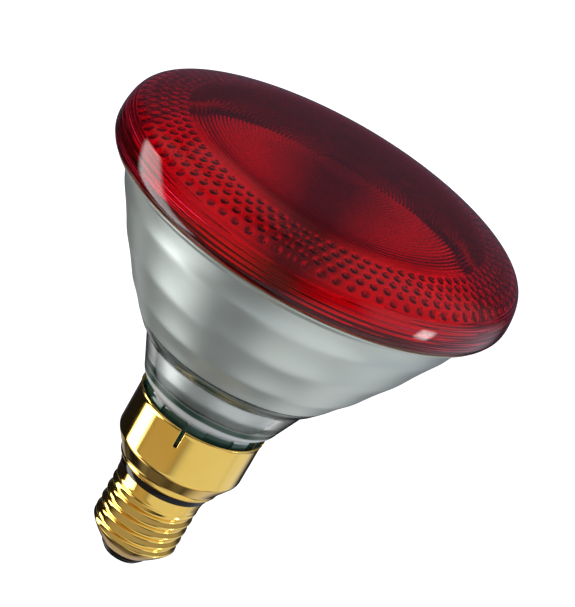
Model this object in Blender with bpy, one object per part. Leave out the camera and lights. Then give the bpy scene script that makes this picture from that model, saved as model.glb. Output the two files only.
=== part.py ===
"""Infrared heat lamp of the pressed-glass reflector kind, on a skirted Edison screw cap.

The lamp is a turned shape about +Z. The origin is the centre of the contact at its tip, and
+Z runs through the cap, the glass neck and the bowl to the ruby front lens.
"""

import math

import bmesh
import bpy

MM = 0.001
GAP = 0.3 * MM


def point(radius, height):
    """A point of an outline, given in millimetres."""
    return (radius * MM, height * MM)


# Overall lamp
LAMP_LENGTH = 136.0 * MM
LENS_RADIUS = 60.5 * MM
ROUND_STEPS = 40
MEDIUM_STEPS = 32
SMALL_STEPS = 24

# Front lens: a flat dome, a sloping band, a rounded shoulder and a drafted side wall
LENS_FOOT_Z = 117.5 * MM
LENS_THICKNESS = 3.5 * MM
DOME_CURVATURE_RADIUS = 660.0 * MM
DOME_EDGE_RADIUS = 43.0 * MM
BAND_EDGE_RADIUS = 53.6 * MM
BAND_DROP = 3.1 * MM
SHOULDER = point(59.6, 126.5)
SHOULDER_CORNER = point(59.1, 129.9)
LENS_FOOT_ROUND = 1.3 * MM
LENS_INNER_FOOT = point(55.2, 117.5)
LENS_INNER_WALL = point(55.6, 125.0)
LENS_INNER_CORNER = point(55.3, 127.1)
LENS_INNER_BAND_RADIUS = 52.4 * MM
DOME_STEPS = 4

# Bowl: the outside and the mirrored inside are both paraboloids
BOWL_FOCUS = 12.97 * MM
BOWL_VERTEX_Z = 56.0 * MM
MIRROR_FOCUS = 12.2 * MM
MIRROR_VERTEX_Z = 59.25 * MM
BAND_EDGES_Z = (75.0 * MM, 82.5 * MM, 93.9 * MM, 106.2 * MM, 112.0 * MM)
BAND_BULGE = 0.35 * MM
BAND_STEPS = 2
BOWL_TOP_CORNER = point(54.8, 114.6)
BOWL_RIM = point(58.3, 116.5)
BOWL_RIM_EDGE = 0.6 * MM
SEAL_INNER_RADIUS = 55.0 * MM
SEAL_RADIUS = 58.9 * MM

# Neck and heel of the glass
NECK_TOP = point(26.1, 69.5)
NECK_TOP_CORNER = point(26.6, 70.7)
NECK_DIP_Z = 72.1 * MM
NECK_FOOT = point(21.6, 59.0)
HEEL_SHOULDER_START = point(18.5, 56.2)
HEEL_SHOULDER_CORNER = point(20.9, 56.5)
HEEL_RADIUS = 18.0 * MM
HEEL_CHAMFER = 1.0 * MM
HEEL_WALL_TOP_Z = 55.0 * MM
INNER_BOWL_FOOT_Z = 74.5 * MM
INNER_NECK_TOP = point(22.9, 70.1)
INNER_NECK_FOOT = point(18.4, 60.0)
INNER_HEEL_TOP_Z = 56.6 * MM
INNER_BOWL_ROWS = 5
HEEL_TOP_Z = 56.2 * MM
HEEL_FOOT_Z = 45.0 * MM
HEEL_FLOOR_Z = 49.0 * MM
HEEL_BORE_RADIUS = 14.6 * MM
LUG_COUNT = 8
LUG_ARC = math.radians(17.0)
LUG_HEIGHT = 0.6 * MM
LUG_FOOT_Z = 50.0 * MM
COATING_THICKNESS = 0.3 * MM
COATING_FOOT_Z = 51.5 * MM

# Brass skirt, with slots in its rim that the lugs of the heel key into
SKIRT_RADIUS = 19.3 * MM
SKIRT_RIM_RADIUS = 19.6 * MM
SKIRT_WALL = 0.45 * MM
SKIRT_TOP_Z = 53.2 * MM
SKIRT_LIP_HEIGHT = 1.1 * MM
SKIRT_LIP_CURL = 0.5 * MM
SKIRT_BEND_Z = 38.4 * MM
SKIRT_BEND_CORNER = point(19.3, 37.0)
SKIRT_FLARE = point(17.6, 35.4)
SKIRT_WAIST_CORNER = point(16.2, 34.0)
SKIRT_HEM = point(15.6, 31.7)
SKIRT_HEM_CORNER = point(15.4, 30.8)
SKIRT_FOOT = point(14.4, 30.7)
SKIRT_SLOPE_WALL = 0.3 * MM
SLOT_COUNT = 4
SLOT_WIDTH = 1.35 * MM
SLOT_DEPTH = 6.0 * MM
SLOT_REACH = 2.0 * MM
SLOT_AZIMUTH = math.radians(-95.0)

# Black ring between skirt and screw shell
RING_RADIUS = 14.0 * MM
RING_BELLY = 0.1 * MM
RING_FOOT_Z = 28.4 * MM
RING_BORE_RADIUS = 11.2 * MM
RING_COLLAR_PLAY = 0.4 * MM
RING_LOW_COLLAR_Z = 26.9 * MM
RING_HIGH_COLLAR_Z = 33.6 * MM

# Screw shell: E27 thread rolled in sheet brass
THREAD_RADIUS = 13.2 * MM
THREAD_DEPTH = 1.0 * MM
THREAD_PITCH = 3.62 * MM
THREAD_CREST_Z = 11.5 * MM
THREAD_START_Z = 8.6 * MM
THREAD_END_Z = 24.6 * MM
THREAD_FADE = 2.4 * MM
THREAD_ROWS_PER_PITCH = 5
THREAD_STEPS = 24
SHELL_WALL = 0.5 * MM
SHELL_TOP = point(13.6, 28.1)
SHELL_NECK_Z = 25.2 * MM
TAPER_TOP_Z = 9.0 * MM
TAPER_CORNER = point(12.0, 6.8)
SHELL_FOOT = point(7.4, 2.6)

# Base insulator, contact and solder
BASE_TOP = point(9.6, 7.4)
BASE_BORE_RADIUS = 2.5 * MM
BASE_FACE_Z = 0.2 * MM
BASE_FACE_RADIUS = 5.8 * MM
BASE_EDGE = point(7.1, 1.7)
BASE_SEAT_RADIUS = 7.0 * MM
BASE_INNER_SEAT_RADIUS = 6.5 * MM
BASE_INNER_WALL = point(6.7, 3.6)
CONTACT_RADIUS = 4.8 * MM
CONTACT_ROUND = 0.2 * MM
CONTACT_PLATE = 0.5 * MM
EYELET_RADIUS = 2.2 * MM
EYELET_BORE_RADIUS = 1.8 * MM
EYELET_TOP_Z = 3.6 * MM
PLUG_RADIUS = 1.5 * MM
PLUG_TIP_RADIUS = 0.9 * MM
PLUG_SHOULDER_Z = 2.8 * MM
PLUG_TOP_Z = 3.2 * MM

# Mount inside the glass
FERRULE_SPACING = 16.0 * MM
FERRULE_RADIUS = 2.6 * MM
FERRULE_WALL = 0.5 * MM
FERRULE_ROUND = 0.6 * MM
BRAZE_HEIGHT = 0.7 * MM
BRAZE_WIDTH = 0.8 * MM
BRAZE_TIP_WIDTH = 0.3 * MM
FERRULE_FOOT_Z = 42.0 * MM
FERRULE_TOP_Z = 48.6 * MM
POST_RADIUS = 0.8 * MM
POST_FOOT_Z = 40.8 * MM
POST_BEND_Z = 58.0 * MM
POST_SPREAD_Z = 65.0 * MM
POST_OVER_FILAMENT = 1.5 * MM
FILAMENT_Z = MIRROR_VERTEX_Z + MIRROR_FOCUS
FILAMENT_SPAN = 22.0 * MM
COIL_LEG = 1.4 * MM
COIL_RADIUS = 0.8 * MM
COIL_TURNS = 14
COIL_POINTS_PER_TURN = 6
FILAMENT_WIRE_RADIUS = 0.13 * MM
BEAD_Z = 55.0 * MM
BEAD_RADIUS = 1.3 * MM
BEAD_ROUND = 0.8 * MM
SUPPORT_WIRE_RADIUS = 0.18 * MM
SUPPORT_LOOP_RADIUS = 1.45 * MM
SUPPORT_LOOP_START = math.radians(-90.0)
SUPPORT_LOOP_ARC = math.radians(285.0)
SUPPORT_LOOP_STEPS = 10
EXHAUST_RADIUS = 2.0 * MM
EXHAUST_BORE_RADIUS = 1.1 * MM
EXHAUST_TIP_Z = 37.5 * MM
EXHAUST_TAPER = point(1.0, 38.3)
EXHAUST_WALL_Z = 40.1 * MM
EXHAUST_BORE_Z = 40.9 * MM

# Wires inside the cap
LEAD_RADIUS = 0.4 * MM
LEAD_DROP = 5.0 * MM
SHELL_LEAD_BEND = point(8.6, 29.8)
CONTACT_LEAD_BEND = point(4.0, 22.0)
CONTACT_LEAD_FOOT_Z = 9.0 * MM
SHELL_JOINT_Z = 25.6 * MM
SHELL_JOINT_RADIUS = 1.0 * MM
SHELL_JOINT_TIP_RADIUS = 0.6 * MM
SHELL_JOINT_TIP = 0.15 * MM
SHELL_JOINT_SHOULDER = 0.7 * MM
SHELL_JOINT_THICKNESS = 1.0 * MM

TINY_STEPS = 16
DROP_STEPS = 12
WIRE_STEPS = 3
FULL_TURN = 2.0 * math.pi
QUARTER_TURN = 0.5 * math.pi
MERGE_DISTANCE = 1e-6
SHARP_ANGLE = math.radians(30.0)


def clear_scene():
    for item in list(bpy.data.objects):
        bpy.data.objects.remove(item, do_unlink=True)


def make_material(name, colour, roughness, metallic=0.0):
    material = bpy.data.materials.new(name)
    material.use_nodes = True
    shader = material.node_tree.nodes["Principled BSDF"]
    shader.inputs["Base Color"].default_value = (*colour, 1.0)
    shader.inputs["Roughness"].default_value = roughness
    shader.inputs["Metallic"].default_value = metallic
    material.diffuse_color = (*colour, 1.0)
    return material


def link_object(name, data, material, parent):
    item = bpy.data.objects.new(name, data)
    bpy.context.scene.collection.objects.link(item)
    if material:
        data.materials.append(material)
    item.parent = parent
    return item


def finish_mesh(name, bm):
    bmesh.ops.recalc_face_normals(bm, faces=bm.faces)
    mesh = bpy.data.meshes.new(name)
    bm.to_mesh(mesh)
    bm.free()
    mesh.shade_smooth()
    mesh.set_sharp_from_angle(angle=SHARP_ANGLE)
    return mesh


def spin_outline(outline, steps):
    """Spin a closed outline of (radius, height) points once about Z."""
    bm = bmesh.new()
    ring = [bm.verts.new((radius, 0.0, height)) for radius, height in outline]
    edges = [bm.edges.new((ring[i - 1], ring[i])) for i in range(len(ring))]
    bmesh.ops.spin(
        bm,
        geom=ring + edges,
        cent=(0.0, 0.0, 0.0),
        axis=(0.0, 0.0, 1.0),
        angle=FULL_TURN,
        steps=steps,
        use_merge=True,
    )
    bmesh.ops.remove_doubles(bm, verts=bm.verts, dist=MERGE_DISTANCE)
    return bm


def turned(name, outline, material, parent, steps=ROUND_STEPS):
    mesh = finish_mesh(name, spin_outline(outline, steps))
    return link_object(name, mesh, material, parent)


def wire(name, points, radius, material, parent, resolution=2):
    """A round wire along straight stretches between the points, closed at both ends."""
    curve = bpy.data.curves.new(name, "CURVE")
    curve.dimensions = "3D"
    curve.bevel_depth = radius
    curve.bevel_resolution = resolution
    curve.use_fill_caps = True
    spline = curve.splines.new("POLY")
    spline.points.add(len(points) - 1)
    for target, point in zip(spline.points, points):
        target.co = (*point, 1.0)
    spline.use_smooth = True
    return link_object(name, curve, material, parent)


def cut_or_join(target, tool, operation):
    """Apply a hidden tool object to the target with an exact Boolean."""
    tool.hide_render = True
    tool.display_type = "WIRE"
    modifier = target.modifiers.new(tool.name, "BOOLEAN")
    modifier.operation = operation
    modifier.solver = "EXACT"
    modifier.object = tool


def bend(start, corner, end, steps):
    """Points of a rounded corner from start to end, pulled towards corner."""
    points = []
    for i in range(steps + 1):
        t = i / steps
        weights = ((1.0 - t) ** 2, 2.0 * t * (1.0 - t), t * t)
        points.append(tuple(
            sum(w * p[axis] for w, p in zip(weights, (start, corner, end)))
            for axis in (0, 1)
        ))
    return points


def smooth_path(points, steps):
    """Catmull-Rom curve through the points, as short straight runs."""
    padded = [points[0], *points, points[-1]]
    path = [points[0]]
    for a, b, c, d in zip(padded, padded[1:], padded[2:], padded[3:]):
        for i in range(1, steps + 1):
            t = i / steps
            path.append(tuple(
                0.5 * (2.0 * q + (r - p) * t
                       + (2.0 * p - 5.0 * q + 4.0 * r - s) * t ** 2
                       + (3.0 * q - p - 3.0 * r + s) * t ** 3)
                for p, q, r, s in zip(a, b, c, d)
            ))
    return path


def paraboloid_radius(focus, vertex_z, z):
    return math.sqrt(4.0 * focus * (z - vertex_z))


def bowl_radius(z):
    return paraboloid_radius(BOWL_FOCUS, BOWL_VERTEX_Z, z)


def mirror_radius(z):
    return paraboloid_radius(MIRROR_FOCUS, MIRROR_VERTEX_Z, z)


def dome_z(radius):
    return LAMP_LENGTH - radius ** 2 / (2.0 * DOME_CURVATURE_RADIUS)


def radial_block(bm, azimuth, half_width, inner, outer, low, high):
    """A box that points outwards from the axis at an azimuth, added to bm."""
    along = (math.cos(azimuth), math.sin(azimuth))
    across = (-along[1], along[0])
    corners = []
    for z in (low, high):
        for reach, side in ((inner, -1), (outer, -1), (outer, 1), (inner, 1)):
            corners.append(bm.verts.new((
                reach * along[0] + side * half_width * across[0],
                reach * along[1] + side * half_width * across[1],
                z,
            )))
    bottom, top = corners[:4], corners[4:]
    bm.faces.new(bottom[::-1])
    bm.faces.new(top)
    for i in range(4):
        j = (i + 1) % 4
        bm.faces.new((bottom[i], bottom[j], top[j], top[i]))


def lens_outline():
    """Outline of the cup-shaped lens, from its apex over the outside and back under the dome."""
    dome = [DOME_EDGE_RADIUS * i / DOME_STEPS for i in range(DOME_STEPS + 1)]
    band_z = dome_z(DOME_EDGE_RADIUS) - BAND_DROP
    outside = [(r, dome_z(r)) for r in dome]
    outside += bend((BAND_EDGE_RADIUS, band_z), SHOULDER_CORNER, SHOULDER, 4)
    outside += bend(
        (LENS_RADIUS, LENS_FOOT_Z + LENS_FOOT_ROUND),
        (LENS_RADIUS, LENS_FOOT_Z),
        (LENS_RADIUS - LENS_FOOT_ROUND, LENS_FOOT_Z),
        2,
    )
    inner_band = (LENS_INNER_BAND_RADIUS, band_z - LENS_THICKNESS)
    inside = [LENS_INNER_FOOT] + bend(LENS_INNER_WALL, LENS_INNER_CORNER, inner_band, 3)
    inside += [(r, dome_z(r) - LENS_THICKNESS) for r in reversed(dome)]
    return outside + inside


def bowl_outside():
    """Outside of the bowl, bottom to top: four soft bands that each bulge past the paraboloid."""
    points = []
    for low, high in zip(BAND_EDGES_Z, BAND_EDGES_Z[1:]):
        for i in range(BAND_STEPS):
            part = i / BAND_STEPS
            z = low + (high - low) * part
            points.append((bowl_radius(z) + BAND_BULGE * math.sin(math.pi * part), z))
    top = BAND_EDGES_Z[-1]
    rim_radius, rim_z = BOWL_RIM
    points += bend((bowl_radius(top), top), BOWL_TOP_CORNER, (rim_radius, rim_z - BOWL_RIM_EDGE), 3)
    points.append(BOWL_RIM)
    return points


def neck_outside():
    """Outside of the heel and the neck, bottom to top, up to the first band."""
    points = [
        (HEEL_RADIUS - HEEL_CHAMFER, HEEL_FOOT_Z),
        (HEEL_RADIUS, HEEL_FOOT_Z + HEEL_CHAMFER),
        (HEEL_RADIUS, HEEL_WALL_TOP_Z),
    ]
    points += bend(HEEL_SHOULDER_START, HEEL_SHOULDER_CORNER, NECK_FOOT, 2)
    points += bend(NECK_TOP, NECK_TOP_CORNER, (bowl_radius(NECK_DIP_Z), NECK_DIP_Z), 2)
    return points


def glass_inside(inset=0.0, foot_z=HEEL_FLOOR_Z):
    """Inside wall of the glass, top to bottom, moved towards the axis by inset."""
    top = BOWL_RIM[1]
    points = []
    for i in range(INNER_BOWL_ROWS + 1):
        z = top + (INNER_BOWL_FOOT_Z - top) * i / INNER_BOWL_ROWS
        points.append((mirror_radius(z), z))
    points += [
        INNER_NECK_TOP,
        INNER_NECK_FOOT,
        (HEEL_BORE_RADIUS, INNER_HEEL_TOP_Z),
        (HEEL_BORE_RADIUS, foot_z),
    ]
    return [(radius - inset, z) for radius, z in points]


def build_reflector(material, parent):
    """Pressed glass bowl, neck and heel, with key lugs and three holes in the heel's floor."""
    outline = neck_outside() + bowl_outside() + glass_inside()
    outline += [(0.0, HEEL_FLOOR_Z), (0.0, HEEL_FOOT_Z)]
    reflector = turned("reflector", outline, material, parent)

    lugs = bmesh.new()
    half_width = HEEL_RADIUS * math.sin(0.5 * LUG_ARC)
    reach = HEEL_RADIUS + LUG_HEIGHT
    for i in range(LUG_COUNT):
        azimuth = SLOT_AZIMUTH + 0.5 * LUG_ARC + FULL_TURN * i / LUG_COUNT
        radial_block(lugs, azimuth, half_width, HEEL_BORE_RADIUS + MM, reach, LUG_FOOT_Z, HEEL_TOP_Z)
    cut_or_join(reflector, link_object("lug_tool", finish_mesh("lug_tool", lugs), None, parent), "UNION")

    drills = bmesh.new()
    half = 0.5 * FERRULE_SPACING
    ferrule_hole = FERRULE_RADIUS + GAP
    for x, radius in ((-half, ferrule_hole), (half, ferrule_hole), (0.0, EXHAUST_BORE_RADIUS)):
        drill = bmesh.ops.create_cone(
            drills, cap_ends=True, segments=TINY_STEPS, radius1=radius, radius2=radius,
            depth=4.0 * (HEEL_FLOOR_Z - HEEL_FOOT_Z),
        )
        bmesh.ops.translate(drills, verts=drill["verts"], vec=(x, 0.0, HEEL_FOOT_Z))
    cut_or_join(
        reflector, link_object("drill_tool", finish_mesh("drill_tool", drills), None, parent), "DIFFERENCE")


def build_mirror_coating(material, parent):
    """The aluminium film on the inside of the glass, drawn as a thin loose liner."""
    near = glass_inside(GAP, COATING_FOOT_Z)
    far = glass_inside(GAP + COATING_THICKNESS, COATING_FOOT_Z)
    turned("mirror_coating", near[::-1] + far, material, parent)


def build_skirt(material, parent):
    """Drawn brass skirt: foot, flared cone, straight wall and a lip that curls out a little."""
    outside = bend(SKIRT_FOOT, SKIRT_HEM_CORNER, SKIRT_HEM, 2)
    outside += bend(SKIRT_HEM, SKIRT_WAIST_CORNER, SKIRT_FLARE, 2)[1:]
    outside += bend(SKIRT_FLARE, SKIRT_BEND_CORNER, (SKIRT_RADIUS, SKIRT_BEND_Z), 3)[1:]
    inner_radius = SKIRT_RADIUS - SKIRT_WALL
    lip = [
        (SKIRT_RADIUS, SKIRT_TOP_Z - SKIRT_LIP_HEIGHT),
        (SKIRT_RIM_RADIUS, SKIRT_TOP_Z - SKIRT_LIP_CURL),
        (SKIRT_RIM_RADIUS, SKIRT_TOP_Z),
        (SKIRT_RIM_RADIUS - SKIRT_LIP_CURL, SKIRT_TOP_Z),
        (inner_radius, SKIRT_TOP_Z - SKIRT_LIP_HEIGHT),
    ]
    inside = [(r - SKIRT_WALL, z + SKIRT_SLOPE_WALL) for r, z in reversed(outside)]
    skirt = turned("skirt", outside + lip + inside, material, parent)

    slots = bmesh.new()
    for i in range(SLOT_COUNT):
        azimuth = SLOT_AZIMUTH + FULL_TURN * i / SLOT_COUNT
        radial_block(
            slots, azimuth, 0.5 * SLOT_WIDTH, SKIRT_RADIUS - SLOT_REACH, SKIRT_RADIUS + SLOT_REACH,
            SKIRT_TOP_Z - SLOT_DEPTH, SKIRT_TOP_Z + SLOT_REACH,
        )
    cut_or_join(skirt, link_object("slot_tool", finish_mesh("slot_tool", slots), None, parent), "DIFFERENCE")


def build_insulating_ring(material, parent):
    """Black glass ring that joins skirt to screw shell and keeps them apart."""
    low_collar = SHELL_TOP[0] - SHELL_WALL - RING_COLLAR_PLAY
    high_collar = SKIRT_FOOT[0] - SKIRT_WALL - RING_COLLAR_PLAY
    top = SKIRT_FOOT[1] - GAP
    outline = [
        (RING_BORE_RADIUS, RING_LOW_COLLAR_Z),
        (low_collar, RING_LOW_COLLAR_Z),
        (low_collar, RING_FOOT_Z),
        (RING_RADIUS, RING_FOOT_Z),
        (RING_RADIUS + RING_BELLY, 0.5 * (RING_FOOT_Z + top)),
        (RING_RADIUS, top),
        (high_collar, top),
        (high_collar, RING_HIGH_COLLAR_Z),
        (RING_BORE_RADIUS, RING_HIGH_COLLAR_Z),
    ]
    turned("insulating_ring", outline, material, parent, MEDIUM_STEPS)


def thread_offset(azimuth, z):
    """How far the rolled thread sinks below its crest at an azimuth and height."""
    fade_in = (z - THREAD_START_Z) / THREAD_FADE
    fade_out = (THREAD_END_Z - z) / THREAD_FADE
    strength = max(0.0, min(1.0, fade_in, fade_out))
    turns = (z - THREAD_CREST_Z) / THREAD_PITCH - (azimuth - SLOT_AZIMUTH) / FULL_TURN
    return -strength * THREAD_DEPTH * 0.5 * (1.0 - math.cos(FULL_TURN * turns))


def build_screw_shell(material, parent):
    """Sheet-brass screw shell: the thread is rolled through the wall, so both faces follow it."""
    outside = bend(SHELL_FOOT, TAPER_CORNER, (THREAD_RADIUS, TAPER_TOP_Z), 4)
    row = THREAD_PITCH / THREAD_ROWS_PER_PITCH
    count = int((THREAD_END_Z - TAPER_TOP_Z) / row)
    outside += [(THREAD_RADIUS, TAPER_TOP_Z + row * i) for i in range(1, count + 1)]
    outside += [(THREAD_RADIUS, SHELL_NECK_Z), SHELL_TOP]
    inside = [(r - SHELL_WALL, z) for r, z in reversed(outside)]
    bm = spin_outline(outside + inside, THREAD_STEPS)
    for vert in bm.verts:
        azimuth = math.atan2(vert.co.y, vert.co.x)
        radius = math.hypot(vert.co.x, vert.co.y)
        scale = (radius + thread_offset(azimuth, vert.co.z)) / radius
        vert.co.x *= scale
        vert.co.y *= scale
    return link_object("screw_shell", finish_mesh("screw_shell", bm), material, parent)


def build_base_insulator(material, parent):
    """Black glass button that closes the shell's tapered end round the contact."""
    seat_z = SHELL_FOOT[1] - GAP
    recess = CONTACT_RADIUS + GAP
    outline = [
        (BASE_BORE_RADIUS, CONTACT_PLATE + GAP),
        (recess, CONTACT_PLATE + GAP),
        (recess, BASE_FACE_Z),
        (BASE_FACE_RADIUS, BASE_FACE_Z),
        BASE_EDGE,
        (BASE_SEAT_RADIUS, seat_z),
        (BASE_INNER_SEAT_RADIUS, seat_z),
        BASE_INNER_WALL,
        BASE_TOP,
        (BASE_BORE_RADIUS, BASE_TOP[1]),
    ]
    turned("base_insulator", outline, material, parent, SMALL_STEPS)


def build_contact(brass, solder, parent):
    """Centre contact with its eyelet tube, and the solder plug that fills the eyelet."""
    plate = [
        (EYELET_BORE_RADIUS, 0.0),
        (CONTACT_RADIUS - CONTACT_ROUND, 0.0),
        (CONTACT_RADIUS, CONTACT_ROUND),
        (CONTACT_RADIUS, CONTACT_PLATE),
        (EYELET_RADIUS, CONTACT_PLATE),
        (EYELET_RADIUS, EYELET_TOP_Z),
        (EYELET_BORE_RADIUS, EYELET_TOP_Z),
    ]
    turned("centre_contact", plate, brass, parent, SMALL_STEPS)

    plug = spin_outline([
        (0.0, 0.0),
        (PLUG_RADIUS, 0.0),
        (PLUG_RADIUS, PLUG_SHOULDER_Z),
        (PLUG_TIP_RADIUS, PLUG_TOP_Z),
        (0.0, PLUG_TOP_Z),
    ], SMALL_STEPS)
    end_centres = [vert for vert in plug.verts if vert.co.xy.length < MERGE_DISTANCE]
    bmesh.ops.dissolve_verts(plug, verts=end_centres)
    link_object("contact_solder", finish_mesh("contact_solder", plug), solder, parent)


def build_feedthrough(side, x, nickel, braze, parent):
    """Ferrule sealed in the heel's floor, and the braze that closes it round the lead post."""
    hole = POST_RADIUS + GAP
    ferrule = turned("ferrule_" + side, [
        (hole, FERRULE_FOOT_Z),
        (FERRULE_RADIUS - FERRULE_ROUND, FERRULE_FOOT_Z),
        (FERRULE_RADIUS, FERRULE_FOOT_Z + FERRULE_ROUND),
        (FERRULE_RADIUS, FERRULE_TOP_Z),
        (FERRULE_RADIUS - FERRULE_WALL, FERRULE_TOP_Z),
        (FERRULE_RADIUS - FERRULE_WALL, FERRULE_FOOT_Z + FERRULE_WALL),
        (hole, FERRULE_FOOT_Z + FERRULE_WALL),
    ], nickel, parent, TINY_STEPS)
    ferrule.location.x = x
    braze_top = FERRULE_FOOT_Z - GAP
    collar = turned("braze_" + side, [
        (hole, braze_top - BRAZE_HEIGHT),
        (hole + BRAZE_TIP_WIDTH, braze_top - BRAZE_HEIGHT),
        (hole + BRAZE_WIDTH, braze_top),
        (hole, braze_top),
    ], braze, parent, TINY_STEPS)
    collar.location.x = x


def build_lead_post(side, sign, material, parent):
    """Nickel post from below its ferrule to one end of the filament."""
    x = 0.5 * sign * FERRULE_SPACING
    tip = 0.5 * sign * FILAMENT_SPAN
    route = smooth_path([
        (x, 0.0, POST_FOOT_Z),
        (x, 0.0, 0.5 * (POST_FOOT_Z + POST_BEND_Z)),
        (x, 0.0, POST_BEND_Z),
        (tip, 0.0, POST_SPREAD_Z),
        (tip, 0.0, FILAMENT_Z + POST_OVER_FILAMENT),
    ], WIRE_STEPS)
    wire("lead_post_" + side, route, POST_RADIUS, material, parent)


def build_filament(material, parent):
    """Tungsten coil at the mirror's focus, across the axis from post to post."""
    reach = 0.5 * FILAMENT_SPAN - POST_RADIUS - GAP
    coil_half = reach - COIL_LEG
    points = [(-reach, 0.0, FILAMENT_Z)]
    total = COIL_TURNS * COIL_POINTS_PER_TURN
    for i in range(total + 1):
        angle = FULL_TURN * i / COIL_POINTS_PER_TURN
        points.append((
            coil_half * (2.0 * i / total - 1.0),
            COIL_RADIUS * math.sin(angle),
            FILAMENT_Z + COIL_RADIUS * math.cos(angle),
        ))
    points.append((reach, 0.0, FILAMENT_Z))
    wire("filament", points, FILAMENT_WIRE_RADIUS, material, parent, 0)


def build_filament_support(glass, wire_material, parent):
    """Glass bead held between the posts, and the wire whose loop carries the coil's middle."""
    half = 0.5 * FERRULE_SPACING - POST_RADIUS - GAP
    bead = turned("bridge_bead", [
        (0.0, -half),
        (BEAD_RADIUS - 0.5 * BEAD_ROUND, -half),
        (BEAD_RADIUS, -half + BEAD_ROUND),
        (BEAD_RADIUS, half - BEAD_ROUND),
        (BEAD_RADIUS - 0.5 * BEAD_ROUND, half),
        (0.0, half),
    ], glass, parent, TINY_STEPS)
    bead.rotation_euler.y = QUARTER_TURN
    bead.location.z = BEAD_Z

    foot_z = BEAD_Z + BEAD_RADIUS + GAP
    points = [(0.0, 0.0, foot_z), (0.0, 0.0, 0.5 * (foot_z + FILAMENT_Z))]
    for i in range(SUPPORT_LOOP_STEPS + 1):
        angle = SUPPORT_LOOP_START + SUPPORT_LOOP_ARC * i / SUPPORT_LOOP_STEPS
        points.append((
            0.0,
            SUPPORT_LOOP_RADIUS * math.cos(angle),
            FILAMENT_Z + SUPPORT_LOOP_RADIUS * math.sin(angle),
        ))
    wire("filament_support", points, SUPPORT_WIRE_RADIUS, wire_material, parent, 1)


def build_exhaust_tip(material, parent):
    """Stub of the glass tube the bulb was pumped through, drawn shut at its lower end."""
    top = HEEL_FOOT_Z - GAP
    outline = [
        (0.0, EXHAUST_TIP_Z),
        EXHAUST_TAPER,
        (EXHAUST_RADIUS, EXHAUST_WALL_Z),
        (EXHAUST_RADIUS, top),
        (EXHAUST_BORE_RADIUS, top),
        (EXHAUST_BORE_RADIUS, EXHAUST_BORE_Z),
        (0.0, EXHAUST_WALL_Z),
    ]
    turned("exhaust_tip", outline, material, parent, TINY_STEPS)


def build_cap_wiring(copper, solder, parent):
    """Wires from the two posts to the screw shell and to the centre contact."""
    start_z = POST_FOOT_Z - GAP
    right = 0.5 * FERRULE_SPACING
    joint_face = THREAD_RADIUS - SHELL_WALL - GAP - SHELL_JOINT_THICKNESS
    shell_route = smooth_path([
        (-right, 0.0, start_z),
        (-right, 0.0, start_z - LEAD_DROP),
        (-SHELL_LEAD_BEND[0], 0.0, SHELL_LEAD_BEND[1]),
        (-joint_face + GAP, 0.0, SHELL_JOINT_Z),
    ], WIRE_STEPS)
    wire("shell_lead", shell_route, LEAD_RADIUS, copper, parent, 1)

    contact_route = smooth_path([
        (right, 0.0, start_z),
        (right, 0.0, start_z - LEAD_DROP),
        (CONTACT_LEAD_BEND[0], 0.0, CONTACT_LEAD_BEND[1]),
        (0.0, 0.0, CONTACT_LEAD_FOOT_Z),
        (0.0, 0.0, PLUG_TOP_Z + GAP),
    ], WIRE_STEPS)
    wire("contact_lead", contact_route, LEAD_RADIUS, copper, parent, 1)

    joint = turned("shell_solder", [
        (0.0, 0.0),
        (SHELL_JOINT_TIP_RADIUS, SHELL_JOINT_TIP),
        (SHELL_JOINT_RADIUS, SHELL_JOINT_SHOULDER),
        (SHELL_JOINT_RADIUS, SHELL_JOINT_THICKNESS),
        (0.0, SHELL_JOINT_THICKNESS),
    ], solder, parent, DROP_STEPS)
    joint.rotation_euler.y = -QUARTER_TURN
    joint.location = (-joint_face, 0.0, SHELL_JOINT_Z)


def build_lamp():
    clear_scene()
    lamp = bpy.data.objects.new("lamp", None)
    bpy.context.scene.collection.objects.link(lamp)

    ruby = make_material("ruby_glass", (0.32, 0.012, 0.03), 0.08)
    glass = make_material("lamp_glass", (0.62, 0.68, 0.64), 0.3)
    mirror = make_material("aluminium_film", (0.9, 0.91, 0.91), 0.12, 1.0)
    seal = make_material("rim_sealant", (0.55, 0.4, 0.2), 0.5)
    brass = make_material("brass", (0.85, 0.6, 0.22), 0.18, 1.0)
    vitrite = make_material("black_glass", (0.02, 0.018, 0.02), 0.12)
    nickel = make_material("nickel", (0.6, 0.58, 0.55), 0.3, 1.0)
    tungsten = make_material("tungsten", (0.35, 0.35, 0.36), 0.45, 1.0)
    solder = make_material("solder", (0.65, 0.65, 0.64), 0.35, 1.0)
    copper = make_material("tinned_copper", (0.75, 0.5, 0.35), 0.3, 1.0)

    turned("lens", lens_outline(), ruby, lamp)
    seal_low = BOWL_RIM[1] + GAP
    seal_high = LENS_FOOT_Z - GAP
    turned("rim_seal", [
        (SEAL_INNER_RADIUS, seal_low),
        (SEAL_RADIUS, seal_low),
        (SEAL_RADIUS, seal_high),
        (SEAL_INNER_RADIUS, seal_high),
    ], seal, lamp)
    build_reflector(glass, lamp)
    build_mirror_coating(mirror, lamp)
    build_skirt(brass, lamp)
    build_insulating_ring(vitrite, lamp)
    build_screw_shell(brass, lamp)
    build_base_insulator(vitrite, lamp)
    build_contact(brass, solder, lamp)
    for side, sign in (("left", -1.0), ("right", 1.0)):
        build_feedthrough(side, 0.5 * sign * FERRULE_SPACING, nickel, solder, lamp)
        build_lead_post(side, sign, nickel, lamp)
    build_filament(tungsten, lamp)
    build_filament_support(glass, tungsten, lamp)
    build_exhaust_tip(glass, lamp)
    build_cap_wiring(copper, solder, lamp)


build_lamp()
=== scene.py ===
"""Looks of the infrared heat lamp: ruby pressed lens, satin mirrored bowl, glass neck, brass cap."""

import math

import bpy
import numpy as np
from mathutils import Matrix, Vector


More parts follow.
